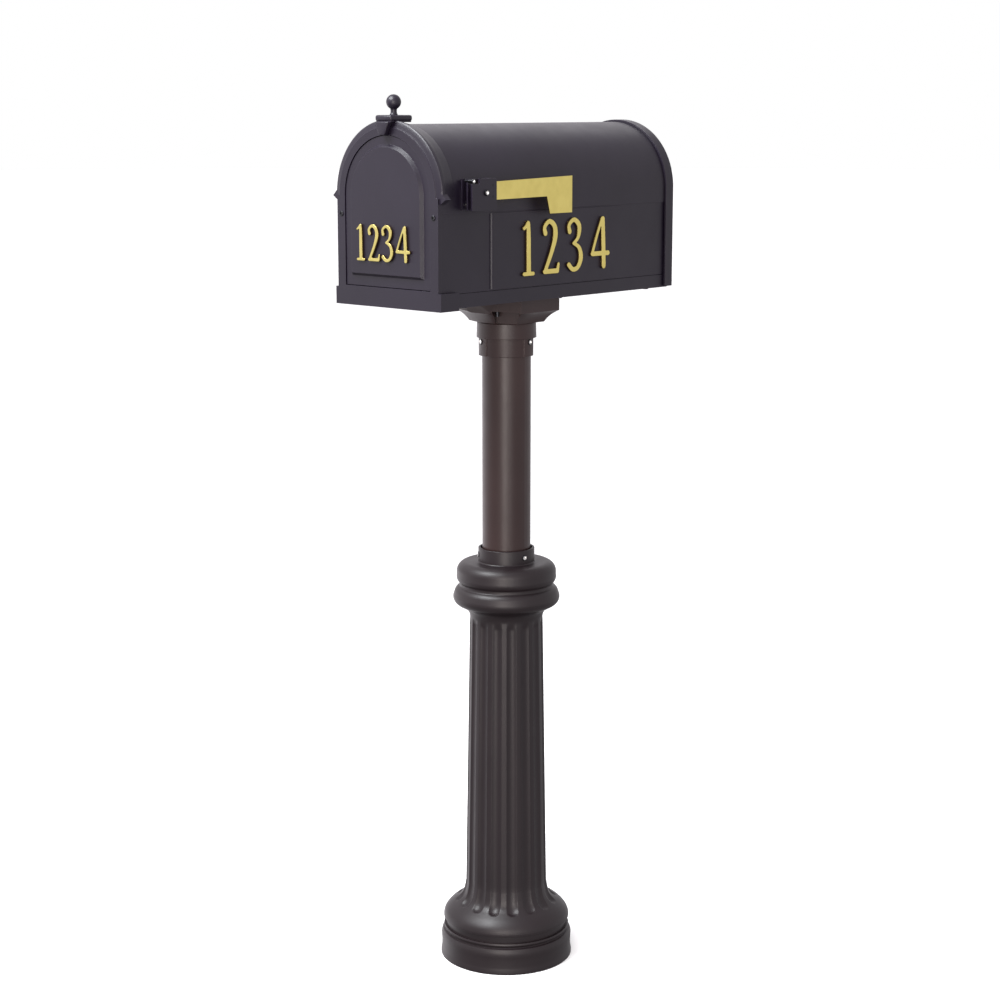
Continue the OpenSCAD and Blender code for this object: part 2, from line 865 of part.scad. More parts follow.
// The raised field of the door with a bevel all round
module door_field() {
    top_r = field_r - field_bevel;
    y0 = door_face_y - field_rise;
    intersection() {
        union() {
            translate([0, door_face_y + 0.5, spring_z])
                rotate([90, 0, 0]) {
                    cylinder(h = 0.5, r = field_r);
                    translate([0, 0, 0.5])
                        cylinder(h = field_rise, r1 = field_r, r2 = top_r);
                }
            translate([0, 0, field_z])
                linear_extrude(spring_z - field_z)
                    polygon([
                        [-field_r, door_face_y + 0.5], [-field_r, door_face_y], [-top_r, y0],
                        [top_r, y0], [field_r, door_face_y], [field_r, door_face_y + 0.5]
                    ]);
        }
        along_x(-field_r - 1, field_r + 1)
            polygon([
                [y0, field_z + field_bevel], [door_face_y, field_z], [door_face_y + 1, field_z],
                [door_face_y + 1, spring_z + door_r], [y0, spring_z + door_r]
            ]);
    }
}

module door_panel() color(black)
    difference() {
        union() {
            along_y(door_face_y, door_back_y)
                arch(door_r, hinge_z);
            along_x(-door_r, door_r)
                translate([hinge_y, hinge_z])
                    circle(barrel_r);
            block([-door_r, door_face_y, door_skirt_z], [door_r, hinge_y, hinge_z + 1]);
            door_field();
        }
        along_x(-door_r - cut, -door_r + pin_in_door)
            translate([hinge_y, hinge_z])
                circle(hinge_pin_r + run);
        along_x(door_r - pin_in_door, door_r + cut)
            translate([hinge_y, hinge_z])
                circle(hinge_pin_r + run);
        for (x = pull_screw_x)
            translate([x, 0, pull_screw_z])
                along_y(door_back_y - pull_screw_bite, door_back_y + cut)
                    circle(pull_screw_r);
    }

module door_hinge_pins() color(steel)
    for (side = [0, 1])
        mirror([side, 0, 0])
            translate([door_r - pin_in_door + 1, hinge_y, hinge_z])
                rotate([0, 90, 0])
                    cylinder(h = pin_end_x - door_r + pin_in_door - 1, r = hinge_pin_r);

module door_pull() color(black)
    difference() {
        union() {
            along_y(keystone_front_y, keystone_back_y)
                polygon([
                    [-keystone_low_x, keystone_z0], [keystone_low_x, keystone_z0],
                    [keystone_high_x, pull_cap_z + 0.5], [-keystone_high_x, pull_cap_z + 0.5]
                ]);
            along_y(keystone_back_y - 1, tongue_y1)
                polygon([
                    [-neck_low_x, keystone_z0], [neck_low_x, keystone_z0],
                    [neck_high_x, pull_cap_z + 0.5], [-neck_high_x, pull_cap_z + 0.5]
                ]);
            block([-neck_low_x, door_back_y, tongue_z1 - 1], [neck_low_x, tongue_y1, keystone_z0 + 1]);
            block([-tongue_x, door_back_y, tongue_z0], [tongue_x, tongue_y1, tongue_z1]);
            block(
                [-pull_cap_x + pull_step, pull_cap_y0 + pull_step, pull_cap_z],
                [pull_cap_x - pull_step, pull_cap_y1 - pull_step, pull_cap_top_z - 1]
            );
            block([-pull_cap_x, pull_cap_y0, pull_step_z], [pull_cap_x, pull_cap_y1, pull_cap_top_z]);
        }
        translate([0, stem_y, pull_cap_top_z - stem_thread_l])
            cylinder(h = stem_thread_l + cut, r = stem_thread_r);
        for (x = pull_screw_x)
            translate([x, 0, pull_screw_z])
                along_y(door_back_y - cut, tongue_y1 + cut)
                    circle(pull_screw_r);
    }

module ball_finial() color(black) {
    translate([0, stem_y, pull_cap_top_z - stem_thread_l])
        cylinder(h = stem_thread_l + cut, r = stem_thread_r);
    translate([0, stem_y, pull_cap_top_z])
        cylinder(h = ball_z - pull_cap_top_z, r = stem_r);
    translate([0, stem_y, ball_z])
        sphere(ball_r);
}

module pull_screws() color(steel)
    for (x = pull_screw_x)
        translate([x, 0, pull_screw_z]) {
            along_y(tongue_y1, tongue_y1 + 1.6)
                circle(2.8);
            along_y(door_back_y - pull_screw_bite, tongue_y1 + 0.5)
                circle(pull_screw_r);
        }

module strike_plate() color(steel)
    block(
        [-strike_x, door_back_y, magnet_z0 - 2],
        [strike_x, door_back_y + strike_t, tongue_z0 - 1]
    );

module catch_bracket() color(black)
    difference() {
        union() {
            block([-8, catch_y, magnet_z0], [8, catch_y + 2, catch_tab_z]);
            block([-8, catch_y, catch_tab_z - 2], [8, catch_tab_y, catch_tab_z]);
        }
        for (p = catch_screw_at)
            translate([p[0], p[1], catch_tab_z - 3])
                cylinder(h = 6, r = catch_screw_r);
    }

module catch_screws() color(steel)
    for (p = catch_screw_at)
        translate([p[0], p[1], 0]) {
            translate([0, 0, catch_tab_z - 3.6])
                cylinder(h = 1.6, r = 2.8);
            translate([0, 0, catch_tab_z - 2.2])
                cylinder(h = 4, r = catch_screw_r);
        }

module catch_magnet() color(steel)
    block([-magnet_x, catch_y - magnet_t, magnet_z0], [magnet_x, catch_y, magnet_z1]);

module door_digit(k) color(brass)
    translate([door_digit_x[k], 0, door_digit_z])
        along_y(door_face_y - field_rise - digit_t, door_face_y - field_rise)
            digit_outline(k, door_digit_h);

// ---- Side digits and flag ----

module side_digit(k) color(brass)
    along_x(side_x + side_field_rise, side_x + side_field_rise + digit_t)
        translate([side_digit_y[k], side_digit_z])
            digit_outline(k, side_digit_h);

// A channel open to the front: inner flange on the wall, rear web, outer flange behind the flag
module flag_bracket() color(black)
    difference() {
        translate([0, flag_y, flag_z]) {
            block([roof_r + 0.1, plate_y0, plate_z0], [roof_r + 0.1 + bracket_t, plate_y1, plate_z1]);
            block([roof_r + 0.1, plate_y1 - bracket_t, plate_z0], [bracket_out_x, plate_y1, plate_z1]);
            block([bracket_out_x - bracket_t, plate_y0, plate_z0], [bracket_out_x, plate_y1, plate_z1]);
        }
        for (p = bracket_screw_at)
            translate([roof_r - 1, flag_y + p[0], flag_z + p[1]])
                rotate([0, 90, 0])
                    cylinder(h = 5, r = bracket_screw_r);
        translate([bracket_out_x - 5, flag_y, flag_z])
            rotate([0, 90, 0])
                cylinder(h = 10, r = pivot_r);
        translate([bracket_out_x - 5, flag_y + stop_y, flag_z + stop_z])
            rotate([0, 90, 0])
                cylinder(h = 10, r = 2.5);
    }

module flag_bracket_screws() color(steel)
    for (p = bracket_screw_at)
        translate([0, flag_y + p[0], flag_z + p[1]])
            rotate([0, 90, 0]) {
                translate([0, 0, roof_r + 0.1 + bracket_t])
                    cylinder(h = 2.4, r = 4.2);
                translate([0, 0, lap_x - sheet - 3])
                    cylinder(h = 12, r = bracket_screw_r);
            }

module flag_pivot_bolt() color(steel)
    translate([0, flag_y, flag_z])
        rotate([0, 90, 0]) {
            translate([0, 0, plate_x + flag_plate_t + gap])
                cylinder(h = 2.4, r = 4.4);
            translate([0, 0, bracket_out_x - 10])
                cylinder(h = plate_x + flag_plate_t + 1 - bracket_out_x + 10, r = pivot_r);
        }

module flag_washer() color(steel)
    translate([bracket_out_x, flag_y, flag_z])
        rotate([0, 90, 0])
            difference() {
                cylinder(h = 4 - 2 * gap, r = washer_r);
                translate([0, 0, -cut])
                    cylinder(h = 10, r = pivot_r);
            }

module flag_nut() color(steel)
    translate([bracket_out_x - bracket_t - 5, flag_y, flag_z])
        rotate([0, 90, 0])
            difference() {
                cylinder(h = 5, r = 6, $fn = 6);
                translate([0, 0, -cut])
                    cylinder(h = 7, r = pivot_r);
            }

module flag_stop_pin() color(steel)
    translate([0, flag_y + stop_y, flag_z + stop_z])
        rotate([0, 90, 0]) {
            translate([0, 0, bracket_out_x - bracket_t - 3])
                cylinder(h = plate_x + flag_plate_t - bracket_out_x + bracket_t + 4, r = 2.5);
            translate([0, 0, plate_x])
                cylinder(h = flag_plate_t + 1.5, r = stop_r);
        }

module rivet_holes() {
    for (z = rivet_z)
        translate([plate_x - flag_blade_t - cut, flag_y + rivet_y, z])
            rotate([0, 90, 0])
                cylinder(h = flag_blade_t + flag_plate_t + 2 * cut, r = rivet_r);
}

module flag_plate() color(black)
    difference() {
        along_x(plate_x, plate_x + flag_plate_t)
            translate([flag_y, flag_z])
                difference() {
                    translate([plate_y0, plate_z0])
                        square([plate_y1 - plate_y0, plate_z1 - plate_z0]);
                    translate([plate_y0 - 1, notch_z])
                        square([notch_y - plate_y0 + 1, plate_z1]);
                }
        translate([plate_x - cut, flag_y, flag_z])
            rotate([0, 90, 0])
                cylinder(h = 10, r = pivot_r + run);
        rivet_holes();
    }

module flag_blade() color(brass)
    difference() {
        along_x(plate_x - flag_blade_t, plate_x)
            polygon([
                [flag_y + blade_tail_y, blade_arm_z[0]], blade_notch[0], blade_notch[1],
                [blade_tip_y, blade_low_z], [blade_tip_y, blade_high_z],
                [flag_y + blade_tail_y, blade_arm_z[1]]
            ]);
        translate([plate_x - 5, flag_y, flag_z])
            rotate([0, 90, 0])
                cylinder(h = 10, r = pivot_r + run);
        rivet_holes();
    }

module flag_rivets() color(black)
    for (z = rivet_z)
        translate([0, flag_y + rivet_y, z])
            rotate([0, 90, 0])
                translate([0, 0, plate_x - flag_blade_t - 1.2])
                    cylinder(h = flag_plate_t + flag_blade_t + 1.2, r = rivet_r);

base_flange();
pole();
pole_screws();
column_cover();
column_screws();
top_bracket();
bracket_screws();
floor_pan();
side_panel_left();
side_panel_right();
roof_shell();
front_frame();
frame_screws();
rear_cap();
rear_screws();
floor_screws();
mailbox_bolts();
door_panel();
door_pull();
ball_finial();
pull_screws();
door_hinge_pins();
catch_bracket();
catch_screws();
catch_magnet();
strike_plate();
door_digit(0);  // door_digit_1
door_digit(1);  // door_digit_2
door_digit(2);  // door_digit_3
door_digit(3);  // door_digit_4
side_digit(0);  // side_digit_1
side_digit(1);  // side_digit_2
side_digit(2);  // side_digit_3
side_digit(3);  // side_digit_4
flag_bracket();
flag_bracket_screws();
flag_pivot_bolt();
flag_washer();
flag_nut();
flag_stop_pin();
flag_plate();
flag_blade();
flag_rivets();
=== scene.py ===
"""Looks, light and camera for a curbside mailbox on a fluted post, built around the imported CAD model.

Everything is in metres in the model's own frame: +Z up, origin on the ground at the post axis,
the door towards -Y and the flag on the +X side.
"""

import json
import math

import bmesh
import bpy
import numpy as np
from mathutils import Matrix, Vector


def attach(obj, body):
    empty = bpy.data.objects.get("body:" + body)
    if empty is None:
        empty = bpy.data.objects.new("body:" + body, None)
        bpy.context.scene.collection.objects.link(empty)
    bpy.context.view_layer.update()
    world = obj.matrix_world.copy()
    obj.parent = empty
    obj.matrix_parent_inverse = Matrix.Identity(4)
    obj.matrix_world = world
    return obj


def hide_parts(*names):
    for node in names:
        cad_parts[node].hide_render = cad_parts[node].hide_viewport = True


MM = 0.001

# Camera: height, distance from the post axis, heading, downward tilt and lens
CAMERA_HEIGHT = 1.367
CAMERA_DISTANCE = 3.2
CAMERA_AZIMUTH = 42.57
CAMERA_TILT = 10.9
CAMERA_LENS = 74.5
CAMERA_SIDE = -0.0101
SENSOR_WIDTH = 36.0

# Brightness of the room that the object reflects
GROUND_DOWN = 0.38
GROUND_FAR = 0.76
GROUND_GLOW = 1.15
SKY_LOW = 0.70
SKY_HIGH = 0.62
SKY_GLOW = 0.35
GLOW_TURN = 30
WHITE = (1, 1, 1, 1)
ROOM_TINT = (1.0, 0.965, 1.0, 1)

# Soft boxes: name, place, target, width, height, watts and colour
SOFT_BOXES = (
    ("overhead", (-0.5, -1.45, 3.0), (0, 0, 0.5), 1.4, 1.4, 125, (0.95, 0.98, 1)),
    ("back", (-1.3, 2.1, 3.0), (0, 0, 1.0), 1.8, 1.2, 5, (1, 1, 1)),
    ("key", (1.95, -2.8, 1.1), (0, 0, 0.9), 1.0, 2.4, 62, (1, 0.92, 0.87)),
    ("edge", (2.8, -1.75, 0.8), (0, 0, 0.9), 0.25, 1.8, 8, (1, 1, 1)),
    ("left", (-2.7, -2.5, 1.2), (0, 0, 1.0), 1.2, 2.4, 5, (1, 1, 1)),
)
# A broad sun that only the floor receives
FLOOR_WASH = 1.9
FLOOR_WASH_ANGLE = 80
FLOOR_RADIUS = 40

# Two mesh points closer than this, in metres, are one
WELD_DISTANCE = 0.00001


# ---------------------------------------------------------------- camera and studio


def make_camera():
    """The camera looks down a little at the post from the front right."""
    azimuth = math.radians(CAMERA_AZIMUTH)
    tilt = math.radians(CAMERA_TILT)
    back = Vector((math.sin(azimuth), -math.cos(azimuth), 0))
    right = Vector((math.cos(azimuth), math.sin(azimuth), 0))
    data = bpy.data.cameras.new("camera")
    data.sensor_width = SENSOR_WIDTH
    data.lens = CAMERA_LENS
    data.clip_end = 100
    camera = bpy.data.objects.new("camera", data)
    camera.location = back * CAMERA_DISTANCE + right * CAMERA_SIDE + Vector((0, 0, CAMERA_HEIGHT))
    camera.rotation_euler = (math.pi / 2 - tilt, 0, azimuth)
    bpy.context.scene.collection.objects.link(camera)
    bpy.context.scene.camera = camera


def soft_box(name, place, target, width, height, watts, colour):
    """A rectangular area light at place, turned towards target."""
    data = bpy.data.lights.new(name, "AREA")
    data.shape = "RECTANGLE"
    data.size = width
    data.size_y = height
    data.energy = watts
    data.color = colour
    light = bpy.data.objects.new(name, data)
    light.location = place
    aim = Vector(target) - Vector(place)
    light.rotation_euler = aim.to_track_quat("-Z", "Y").to_euler()
    bpy.context.scene.collection.objects.link(light)


def make_world():
    """A white backdrop for the eye; the object sees a softer room with a bright floor behind it."""
    world = bpy.data.worlds.new("studio")
    bpy.context.scene.world = world
    world.use_nodes = True
    nodes, links = world.node_tree.nodes, world.node_tree.links
    nodes.clear()

    def node(kind, **settings):
        """A new node with its settings."""
        made = nodes.new(kind)
        for key, value in settings.items():
            setattr(made, key, value)
        return made

    def span(source, low, high, start, end):
        """Maps a direction component smoothly from low..high to start..end."""
        made = node("ShaderNodeMapRange", interpolation_type="SMOOTHSTEP")
        links.new(source, made.inputs["Value"])
        for key, value in (("From Min", low), ("From Max", high), ("To Min", start), ("To Max", end)):
            made.inputs[key].default_value = value
        return made.outputs["Result"]

    coord = node("ShaderNodeTexCoord")
    split = node("ShaderNodeSeparateXYZ")
    links.new(coord.outputs["Generated"], split.inputs["Vector"])

    def towards(heading):
        """How much a direction points to a heading on the ground, in degrees from +Y towards -X."""
        made = node("ShaderNodeVectorMath", operation="DOT_PRODUCT")
        links.new(coord.outputs["Generated"], made.inputs[0])
        turn = math.radians(heading)
        made.inputs[1].default_value = (-math.sin(turn), math.cos(turn), 0)
        return made.outputs["Value"]

    def add(a, b):
        """The sum of two sockets."""
        made = node("ShaderNodeMath", operation="ADD")
        links.new(a, made.inputs[0])
        links.new(b, made.inputs[1])
        return made.outputs[0]

    # the floor and the low sky are brightest behind the object, a little to the camera's left
    rise = split.outputs["Z"]
    glow = towards(CAMERA_AZIMUTH + GLOW_TURN)
    ground = add(span(rise, -0.42, -0.2, GROUND_DOWN, GROUND_FAR), span(glow, 0.45, 0.95, 0.0, GROUND_GLOW))
    sky = add(span(rise, 0.3, 1.0, SKY_LOW, SKY_HIGH), span(glow, 0.35, 0.85, 0.0, SKY_GLOW))
    height = span(rise, -0.12, 0.03, 0.0, 1.0)
    strength = node("ShaderNodeMix", data_type="FLOAT")
    links.new(height, strength.inputs["Factor"])
    links.new(ground, strength.inputs["A"])
    links.new(sky, strength.inputs["B"])
    out = node("ShaderNodeOutputWorld")
    mix = node("ShaderNodeMixShader")
    seen = node("ShaderNodeBackground")
    lit = node("ShaderNodeBackground")
    path = node("ShaderNodeLightPath")
    seen.inputs["Color"].default_value = WHITE
    lit.inputs["Color"].default_value = ROOM_TINT
    links.new(strength.outputs["Result"], lit.inputs["Strength"])
    links.new(path.outputs["Is Camera Ray"], mix.inputs["Fac"])
    links.new(lit.outputs[0], mix.inputs[1])
    links.new(seen.outputs[0], mix.inputs[2])
    links.new(mix.outputs[0], out.inputs["Surface"])


def make_floor():
    """A wide pale floor, which the object's own reflections leave out."""
    mesh = bpy.data.meshes.new("floor")
    bm = bmesh.new()
    bmesh.ops.create_circle(bm, cap_ends=True, radius=FLOOR_RADIUS, segments=64)
    bm.to_mesh(mesh)
    bm.free()
    floor = bpy.data.objects.new("floor", mesh)
    bpy.context.scene.collection.objects.link(floor)
    mat = bpy.data.materials.new("floor_paper")
    mat.use_nodes = True
    shader = mat.node_tree.nodes["Principled BSDF"]
    shader.inputs["Base Color"].default_value = (0.9, 0.9, 0.9, 1)
    shader.inputs["Roughness"].default_value = 0.9
    shader.inputs["Specular IOR Level"].default_value = 0.0
    mesh.materials.append(mat)
    floor.visible_diffuse = False
    floor.visible_glossy = False
    return floor


def make_studio():
    """Room, floor and lights."""
    make_world()
    floor = make_floor()
    # a wash that only the floor receives keeps the paper white under the dark object
    sun_data = bpy.data.lights.new("floor_wash", "SUN")
    sun_data.energy = FLOOR_WASH
    sun_data.angle = math.radians(FLOOR_WASH_ANGLE)
    sun = bpy.data.objects.new("floor_wash", sun_data)
    bpy.context.scene.collection.objects.link(sun)
    lit = bpy.data.collections.new("floor_only")
    lit.objects.link(floor)
    sun.light_linking.receiver_collection = lit
    for box in SOFT_BOXES:
        soft_box(*box)


# ---------------------------------------------------------------- materials


class Nodes:
    """Short hand for building a material's node tree."""

    def __init__(self, name):
        self.material = bpy.data.materials.new(name)
        self.material.use_nodes = True
        self.tree = self.material.node_tree
        self.shader = self.tree.nodes["Principled BSDF"]

    def add(self, kind, **inputs):
        """A new node, with values for its inputs."""
        node = self.tree.nodes.new(kind)
        for key, value in inputs.items():
            node.inputs[key.replace("_", " ")].default_value = value
        return node

    def link(self, source, target):
        self.tree.links.new(source, target)

    def colour(self, source):
        """Links a colour to the shader."""
        self.link(source, self.shader.inputs["Base Color"])

    def roughness(self, base, scale, reach):
        """Roughness from base up to base + reach, in patches of scale per metre."""
        spread = self.math("MULTIPLY", self.noise(scale, 3), reach)
        self.link(self.math("ADD", spread, base), self.shader.inputs["Roughness"])

    def noise(self, scale, detail=2.0, roughness=0.5):
        """Object-space noise, with scale in cells per metre."""
        coord = self.add("ShaderNodeTexCoord")
        node = self.add("ShaderNodeTexNoise", Scale=scale, Detail=detail, Roughness=roughness)
        self.link(coord.outputs["Object"], node.inputs["Vector"])
        return node.outputs["Fac"]

    def ramp(self, factor, stops):
        """A colour ramp from (position, colour) pairs."""
        node = self.add("ShaderNodeValToRGB")
        elements = node.color_ramp.elements
        while len(elements) < len(stops):
            elements.new(0.5)
        for element, (position, colour) in zip(elements, stops):
            element.position = position
            element.color = (*colour, 1)
        self.link(factor, node.inputs["Fac"])
        return node.outputs["Color"]

    def math(self, operation, a, b):
        """A sum, product or other operation on two sockets or numbers."""
        node = self.add("ShaderNodeMath")
        node.operation = operation
        for socket, value in zip(node.inputs, (a, b)):
            if isinstance(value, (int, float)):
                socket.default_value = value
            else:
                self.link(value, socket)
        return node.outputs[0]

    def mix(self, factor, a, b):
        """Mixes two colours by a factor socket."""
        node = self.add("ShaderNodeMix")
        node.data_type = "RGBA"
        self.link(factor, node.inputs["Factor"])
        for socket, value in ((node.inputs["A"], a), (node.inputs["B"], b)):
            if isinstance(value, tuple):
                socket.default_value = (*value, 1)
            else:
                self.link(value, socket)
        return node.outputs["Result"]

    def edge(self, reach):
        """0 on flat stretches, 1 within reach (in metres) of a sharp or rounded edge."""
        geometry = self.add("ShaderNodeNewGeometry")
        softened = self.add("ShaderNodeBevel", Radius=reach)
        likeness = self.add("ShaderNodeVectorMath")
        likeness.operation = "DOT_PRODUCT"
        self.link(geometry.outputs["Normal"], likeness.inputs[0])
        self.link(softened.outputs["Normal"], likeness.inputs[1])
        return self.ramp(likeness.outputs["Value"], [(0.84, (1, 1, 1)), (0.985, (0, 0, 0))])

    def bump(self, layers):
        """Sums (height socket, weight in metres) layers into one bump."""
        total = None
        for height, weight in layers:
            scaled = self.math("MULTIPLY", height, weight / MM)
            total = scaled if total is None else self.math("ADD", total, scaled)
        node = self.add("ShaderNodeBump", Distance=MM, Strength=1.0)
        self.link(total, node.inputs["Height"])
        self.link(node.outputs["Normal"], self.shader.inputs["Normal"])


def powder_coat(name, dark, light, grain, roughness):
    """Baked powder coat: fine orange peel, slow drift of tone, and edges where the coat pulls thin."""
    n = Nodes(name)
    drift = n.noise(9, 3)
    tone = n.ramp(drift, [(0.3, dark), (0.7, light)])
    worn = n.edge(1.2 * MM)
    wear = n.math("MULTIPLY", worn, n.noise(60, 4))
    thin = tuple(min(1.0, 2.4 * c + 0.01) for c in light)
    n.colour(n.mix(wear, tone, thin))
    peel = n.noise(grain, 3, 0.6)
    fine = n.noise(2.6 * grain, 2, 0.6)
    n.bump([(peel, 0.00004), (fine, 0.000018)])
    n.roughness(roughness - 0.06, 35, 0.12)
    return n.material


# Painted shade: the brown put on the sides of a brass figure or sheet, where they turn away from its face
# axis
BRASS_PAINTED_SIDE_SHADE = (0.13, 0.085, 0.03)


def satin_brass(name, face_axis, dark, light):
    """Cast brass with a satin lacquer: bright on its faces, with painted shade in brown where it turns away
    at the sides.
    """
    n = Nodes(name)
    tone = n.ramp(n.noise(60, 3), [(0.35, dark), (0.65, light)])
    coord = n.add("ShaderNodeTexCoord")
    facing = n.add("ShaderNodeVectorMath")
    facing.operation = "DOT_PRODUCT"
    n.link(coord.outputs["Normal"], facing.inputs[0])
    facing.inputs[1].default_value = face_axis
    # painted shade: the more a face turns away from face_axis, the more it takes the brown side colour
    flat = n.ramp(n.math("ABSOLUTE", facing.outputs["Value"], 0), [(0.55, (0, 0, 0)), (0.97, (1, 1, 1))])
    n.colour(n.mix(flat, BRASS_PAINTED_SIDE_SHADE, tone))
    n.shader.inputs["Metallic"].default_value = 0.9
    n.roughness(0.3, 160, 0.14)
    n.bump([(n.noise(420, 3), 0.00003), (n.noise(1600, 2), 0.00001)])
    return n.material


def plated_steel(name, colour, roughness):
    """Zinc-plated or bare steel with fine turning marks."""
    n = Nodes(name)
    n.colour(n.ramp(n.noise(240, 3), [(0.3, tuple(0.82 * c for c in colour)), (0.7, colour)]))
    n.shader.inputs["Metallic"].default_value = 1.0
    n.roughness(roughness - 0.08, 600, 0.16)
    n.bump([(n.noise(1500, 2), 0.000008)])
    return n.material


def ferrite(name):
    """Dull grey magnet ceramic."""
    n = Nodes(name)
    n.colour(n.ramp(n.noise(300, 5), [(0.3, (0.03, 0.03, 0.032)), (0.7, (0.06, 0.06, 0.062))]))
    n.roughness(0.55, 500, 0.2)
    n.bump([(n.noise(900, 4), 0.00003)])
    return n.material


# Coats: dark and light tone, grain in cells per metre, roughness
COATS = {
    "box_coat": ((0.0066, 0.0036, 0.0110), (0.0094, 0.0058, 0.0150), 900, 0.42),
    "cast_coat": ((0.0084, 0.0040, 0.0056), (0.0118, 0.0064, 0.0082), 700, 0.45),
    "pole_coat": ((0.024, 0.0105, 0.0098), (0.031, 0.0145, 0.0135), 900, 0.40),
    "bracket_coat": ((0.023, 0.0098, 0.0096), (0.030, 0.0138, 0.0132), 700, 0.41),
}
# Brass: the axis its faces look along (turning away from it gives painted shade), dark and light tone
BRASSES = {
    "brass": ((1, 0, 0), (0.77, 0.65, 0.195), (0.83, 0.705, 0.22)),
    # the door's brass is the same brass painted darker, to offset the brighter light on the door
    "brass_front_painted_dim": ((0, -1, 0), (0.60, 0.51, 0.17), (0.65, 0.555, 0.195)),
}


def make_materials():
    """One material per slot of the record, one for the bracket, and one brass more for the door, painted
    darker for the light that falls there.
    """
    made = {name: powder_coat(name, *values) for name, values in COATS.items()}
    made.update({name: satin_brass(name, *values) for name, values in BRASSES.items()})
    made["bright_steel"] = plated_steel("bright_steel", (0.86, 0.85, 0.83), 0.24)
    made["dark_screw"] = plated_steel("dark_screw", (0.05, 0.05, 0.055), 0.4)
    made["magnet"] = ferrite("magnet")
    return made


# ---------------------------------------------------------------- mesh helpers


def new_piece(name, mesh, slot, body, replaced, look=None):
    """Links a mesh in the shared frame under its body, hides the nodes it replaces, and gives it the material
    of its look, else of its slot.
    """
    piece = bpy.data.objects.new(name, mesh)
    bpy.context.scene.collection.objects.link(piece)
    mesh.materials.append(MATERIALS[look or slot])
    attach(piece, body)
    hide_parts(*replaced)
    return piece


def arc(centre, radius, start, end, steps):
    """Points on a circle in the (radius, height) plane; angles in degrees."""
    turns = np.radians(np.linspace(start, end, steps))
    return [(centre[0] + radius * math.cos(t), centre[1] + radius * math.sin(t)) for t in turns]


def rounded(corners, steps=4):
    """A polyline whose corners (x, y, fillet radius) become short arcs."""
    points = []
    for i, (x, y, r) in enumerate(corners):
        corner = Vector((x, y))
        if r == 0 or i in (0, len(corners) - 1):
            points.append((x, y))
            continue
        before = Vector(corners[i - 1][:2]) - corner
        after = Vector(corners[i + 1][:2]) - corner
        half = before.angle(after) / 2
        reach = min(r / math.tan(half), 0.49 * before.length, 0.49 * after.length)
        a = corner + before.normalized() * reach
        b = corner + after.normalized() * reach
        for s in range(steps + 1):
            t = s / steps
            points.append(tuple((1 - t) ** 2 * a + 2 * t * (1 - t) * corner + t * t * b))
    return points


def hexagon(radius, turn):
    """Distance from the axis to the side of a hexagon of that inner radius."""
    return radius / math.cos(math.radians((math.degrees(turn) + 30) % 60 - 30))


def lathe(bm, profile, place, steps=48, bright_from=None):
    """Turns a (radius, height[, "hex"]) profile in mm that starts and ends on the axis of place."""
    rows = []
    for point in profile:
        if point[0] == 0:
            rows.append([bm.verts.new(place @ Vector((0, 0, point[1] * MM)))])
            continue
        row = []
        for k in range(steps):
            turn = 2 * math.pi * k / steps
            r = hexagon(point[0], turn) if len(point) > 2 else point[0]
            spot = Vector((r * math.cos(turn), r * math.sin(turn), point[1])) * MM
            row.append(bm.verts.new(place @ spot))
        rows.append(row)
    for i, (a, b) in enumerate(zip(rows, rows[1:])):
        for k in range(steps):
            m = (k + 1) % steps
            corners = [a[k % len(a)], a[m % len(a)], b[m % len(b)], b[k % len(b)]]
            face = bm.faces.new(list(dict.fromkeys(corners)))
            if bright_from is not None and i >= bright_from:
                face.material_index = 1


def prism(bm, outline, low, high, radius):
    """A prism along Y, drawn in X and Z in mm, with all of its edges rounded."""
    front = [bm.verts.new((x * MM, low * MM, z * MM)) for x, z in outline]
    back = [bm.verts.new((x * MM, high * MM, z * MM)) for x, z in outline]
    faces = [bm.faces.new(front), bm.faces.new(list(reversed(back)))]
    for i in range(len(outline)):
        j = (i + 1) % len(outline)
        faces.append(bm.faces.new((front[j], front[i], back[i], back[j])))
    edges = list({edge for face in faces for edge in face.edges})
    bmesh.ops.bevel(
        bm, geom=edges, offset=radius * MM, segments=4, profile=0.5, affect="EDGES", clamp_overlap=True
    )


def finish_mesh(name, bm, sharp=40):
    """Turns a bmesh into a smooth-shaded mesh with outward faces."""
    bmesh.ops.recalc_face_normals(bm, faces=bm.faces)
    mesh = bpy.data.meshes.new(name)
    bm.to_mesh(mesh)
    bm.free()
    mesh.polygons.foreach_set("use_smooth", [True] * len(mesh.polygons))
    mesh.set_sharp_from_angle(angle=math.radians(sharp))
    return mesh


def turned_grid(name, rings, sharp):
    """A closed mesh from rings of (radius, angle, height) in mm that follow the section round."""
    rows, around = len(rings), len(rings[0])
    verts = [
        (r * math.cos(turn) * MM, r * math.sin(turn) * MM, z * MM) for ring in rings for r, turn, z in ring
    ]
    faces = [
        (i * around + j, i * around + (j + 1) % around,
         (i + 1) % rows * around + (j + 1) % around, (i + 1) % rows * around + j)
        for i in range(rows) for j in range(around)
    ]
    mesh = bpy.data.meshes.new(name)
    mesh.from_pydata(verts, [], faces)
    mesh.polygons.foreach_set("use_smooth", [True] * len(faces))
    mesh.set_sharp_from_angle(angle=math.radians(sharp))
    return mesh


def smoothstep(x):
    """Eases a number between 0 and 1."""
    return x * x * (3 - 2 * x)


def clamp(x):
    """Keeps a number between 0 and 1."""
    return min(max(x, 0), 1)


def along(start, end, steps):
    """Points on a line, at the given parts of its length."""
    return [tuple(a + (b - a) * t for a, b in zip(start, end)) for t in steps]


